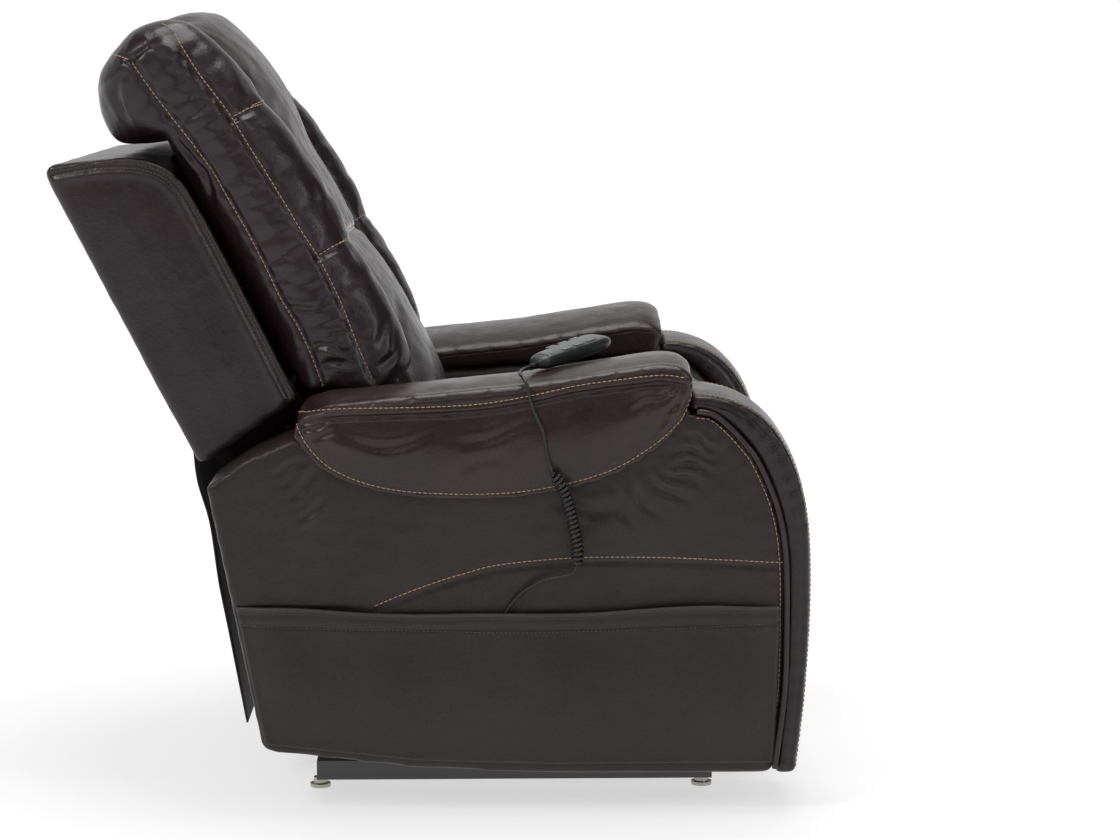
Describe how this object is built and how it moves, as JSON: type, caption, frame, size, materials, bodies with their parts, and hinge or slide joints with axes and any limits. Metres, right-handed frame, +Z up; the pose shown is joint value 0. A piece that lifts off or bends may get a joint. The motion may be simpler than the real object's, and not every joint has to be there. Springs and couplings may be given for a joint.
{
  "type": "lift recliner chair",
  "caption": "Power lift recliner armchair in dark brown leather with bolstered back, pillow arms, side pockets, footrest, and a hand control on a curly cord.",
  "frame": {"origin": "middle of the chair's footprint on the floor", "axes": "+X is the way the sitter faces, +Y is the sitter's left, +Z is up"},
  "size_m": [1.0661, 0.9649, 1.1242],
  "materials": {
    "body_leather": "satin",
    "seat_leather": "satin",
    "arm_leather": "satin",
    "pocket_leather": "satin",
    "black_cloth": "matte",
    "timber": "matte",
    "frame_steel": "satin",
    "bar_steel": "satin",
    "spring_wire": "satin",
    "foot_steel": "satin",
    "rod_steel": "gloss",
    "motor_plastic": "matte",
    "control_plastic": "matte",
    "fascia_plastic": "matte",
    "button_plastic": "matte",
    "cord_rubber": "matte"
  },
  "bodies": {
    "base": {"base_side_tubes": "frame_steel", "base_cross_tubes": "frame_steel", "base_feet": "foot_steel", "base_uprights": "frame_steel", "control_box": "motor_plastic"},
    "lift_arms": {"lift_bars": "frame_steel", "lift_torque_tube": "frame_steel"},
    "front_link_pair": {"front_links": "frame_steel"},
    "lift_motor": {"lift_motor_tube": "motor_plastic", "lift_gear_motor": "motor_plastic"},
    "lift_rod_body": {"lift_rod": "rod_steel"},
    "carriage": {"side_plates": "frame_steel", "carriage_cross_tubes": "frame_steel", "seat_frame": "timber", "seat_springs": "spring_wire", "seat_cushion": "seat_leather", "arm_box_right": "body_leather", "arm_box_left": "body_leather", "pocket_right": "pocket_leather", "pocket_left": "pocket_leather", "arm_pad_right": "arm_leather", "arm_pad_left": "arm_leather", "arm_front_right": "arm_leather", "arm_front_left": "arm_leather", "rear_flap": "black_cloth", "footrest_gear_motor": "motor_plastic", "control_casing": "control_plastic", "control_fascia": "fascia_plastic", "cord_relief": "cord_rubber", "cord_upper": "cord_rubber", "cord_coil": "cord_rubber", "cord_lower": "cord_rubber"},
    "recline_motor": {"recline_motor_tube": "motor_plastic", "recline_gear_motor": "motor_plastic"},
    "recline_rod_body": {"recline_rod": "rod_steel"},
    "backrest": {"back_posts": "frame_steel", "back_frame": "timber", "back_shell": "body_leather", "lumbar_cushion": "seat_leather", "centre_cushion": "seat_leather", "bolster_right": "body_leather", "bolster_left": "body_leather", "head_gear_motor": "motor_plastic"},
    "headrest": {"head_frame": "frame_steel", "head_pillow": "seat_leather", "head_bolster_right": "body_leather", "head_bolster_left": "body_leather"},
    "footrest_swing": {"footrest_swing_bars": "bar_steel"},
    "footrest_control": {"footrest_torque_tube": "bar_steel", "footrest_control_bars": "bar_steel"},
    "footrest_lift": {"footrest_lift_bars": "bar_steel"},
    "footrest_board_link": {"footrest_board_bars": "bar_steel"},
    "footrest": {"footrest_board": "timber", "footrest_pad": "seat_leather"},
    "button_1_cap": {"button_1": "button_plastic"},
    "button_2_cap": {"button_2": "button_plastic"},
    "button_3_cap": {"button_3": "button_plastic"},
    "button_4_cap": {"button_4": "button_plastic"},
    "button_5_cap": {"button_5": "button_plastic"},
    "button_6_cap": {"button_6": "button_plastic"}
  },
  "joints": [
    {"name": "lift", "type": "hinge", "parent": "base", "child": "lift_arms", "pos_m": [0.35, 0, 0.062], "axis": [0, 1, 0], "range_deg": [0, 42]},
    {"name": "seat_tilt", "type": "hinge", "parent": "lift_arms", "child": "carriage", "pos_m": [-0.15, 0, 0.105], "axis": [0, 1, 0], "range_deg": [-16.83, 0]},
    {"name": "front_link_turn", "type": "hinge", "parent": "base", "child": "front_link_pair", "pos_m": [0.4, 0, 0.131], "axis": [0, 1, 0], "range_deg": [0, 45.5]},
    {"name": "lift_motor_turn", "type": "hinge", "parent": "base", "child": "lift_motor", "pos_m": [0.1, 0, 0.066], "axis": [0, 1, 0], "range_deg": [0, 0.4228]},
    {"name": "lift_rod_slide", "type": "slide", "parent": "lift_motor", "child": "lift_rod_body", "axis": [0.9434, 0, 0.3316], "range_m": [0, 0.06469]},
    {"name": "recline", "type": "hinge", "parent": "carriage", "child": "backrest", "pos_m": [-0.23, 0, 0.31], "axis": [0, -1, 0], "range_deg": [0, 40]},
    {"name": "recline_motor_turn", "type": "hinge", "parent": "carriage", "child": "recline_motor", "pos_m": [0, -0.09, 0.322], "axis": [0, -1, 0], "range_deg": [0, 5.89]},
    {"name": "recline_rod_slide", "type": "slide", "parent": "recline_motor", "child": "recline_rod_body", "axis": [-0.9526, 0, -0.3042], "range_m": [-0.04823, 0]},
    {"name": "head_tilt", "type": "hinge", "parent": "backrest", "child": "headrest", "pos_m": [-0.34914, 0, 0.92269], "axis": [0, 1, 0], "range_deg": [0, 20]},
    {"name": "footrest_swing_turn", "type": "hinge", "parent": "carriage", "child": "footrest_swing", "pos_m": [0.26, 0, 0.29], "axis": [0, -1, 0], "range_deg": [0, 93.7]},
    {"name": "footrest_control_turn", "type": "hinge", "parent": "carriage", "child": "footrest_control", "pos_m": [0.2195, 0, 0.3341], "axis": [0, -1, 0], "range_deg": [0, 89.72]},
    {"name": "footrest_knee", "type": "hinge", "parent": "footrest_swing", "child": "footrest_lift", "pos_m": [0.23853, 0, 0.07105], "axis": [0, -1, 0], "range_deg": [-113.23, 0]},
    {"name": "footrest_board_link_turn", "type": "hinge", "parent": "footrest_swing", "child": "footrest_board_link", "pos_m": [0.20453, 0, 0.07705], "axis": [0, -1, 0], "range_deg": [-113.81, 0]},
    {"name": "footrest_board_turn", "type": "hinge", "parent": "footrest_lift", "child": "footrest", "pos_m": [0.40099, 0, 0.2194], "axis": [0, -1, 0], "range_deg": [0, 109.52]},
    {"name": "button_1_press", "type": "slide", "parent": "carriage", "child": "button_1_cap", "axis": [0.0895, 0.1066, -0.9903], "range_m": [0, 0.0012], "stiffness_N_per_m": 400, "springref_m": -0.0005},
    {"name": "button_2_press", "type": "slide", "parent": "carriage", "child": "button_2_cap", "axis": [0.0895, 0.1066, -0.9903], "range_m": [0, 0.0012], "stiffness_N_per_m": 400, "springref_m": -0.0005},
    {"name": "button_3_press", "type": "slide", "parent": "carriage", "child": "button_3_cap", "axis": [0.0895, 0.1066, -0.9903], "range_m": [0, 0.0012], "stiffness_N_per_m": 400, "springref_m": -0.0005},
    {"name": "button_4_press", "type": "slide", "parent": "carriage", "child": "button_4_cap", "axis": [0.0895, 0.1066, -0.9903], "range_m": [0, 0.0012], "stiffness_N_per_m": 400, "springref_m": -0.0005},
    {"name": "button_5_press", "type": "slide", "parent": "carriage", "child": "button_5_cap", "axis": [0.0895, 0.1066, -0.9903], "range_m": [0, 0.0012], "stiffness_N_per_m": 400, "springref_m": -0.0005},
    {"name": "button_6_press", "type": "slide", "parent": "carriage", "child": "button_6_cap", "axis": [0.0895, 0.1066, -0.9903], "range_m": [0, 0.0012], "stiffness_N_per_m": 400, "springref_m": -0.0005}
  ],
  "couplings": [
    {"joint": "seat_tilt", "follows": "lift", "ratio": -0.4},
    {"joint": "front_link_turn", "follows": "lift", "ratio": 1.0812},
    {"joint": "lift_motor_turn", "follows": "lift", "ratio": 0.010048},
    {"joint": "lift_rod_slide", "follows": "lift", "m_per_rad": 0.088072},
    {"joint": "recline_motor_turn", "follows": "recline", "ratio": 0.1469},
    {"joint": "recline_rod_slide", "follows": "recline", "m_per_rad": -0.068941},
    {"joint": "footrest_control_turn", "follows": "footrest_swing_turn", "ratio": 0.95561},
    {"joint": "footrest_knee", "follows": "footrest_swing_turn", "ratio": -1.206},
    {"joint": "footrest_board_link_turn", "follows": "footrest_swing_turn", "ratio": -1.2122},
    {"joint": "footrest_board_turn", "follows": "footrest_swing_turn", "ratio": 1.1665}
  ]
}
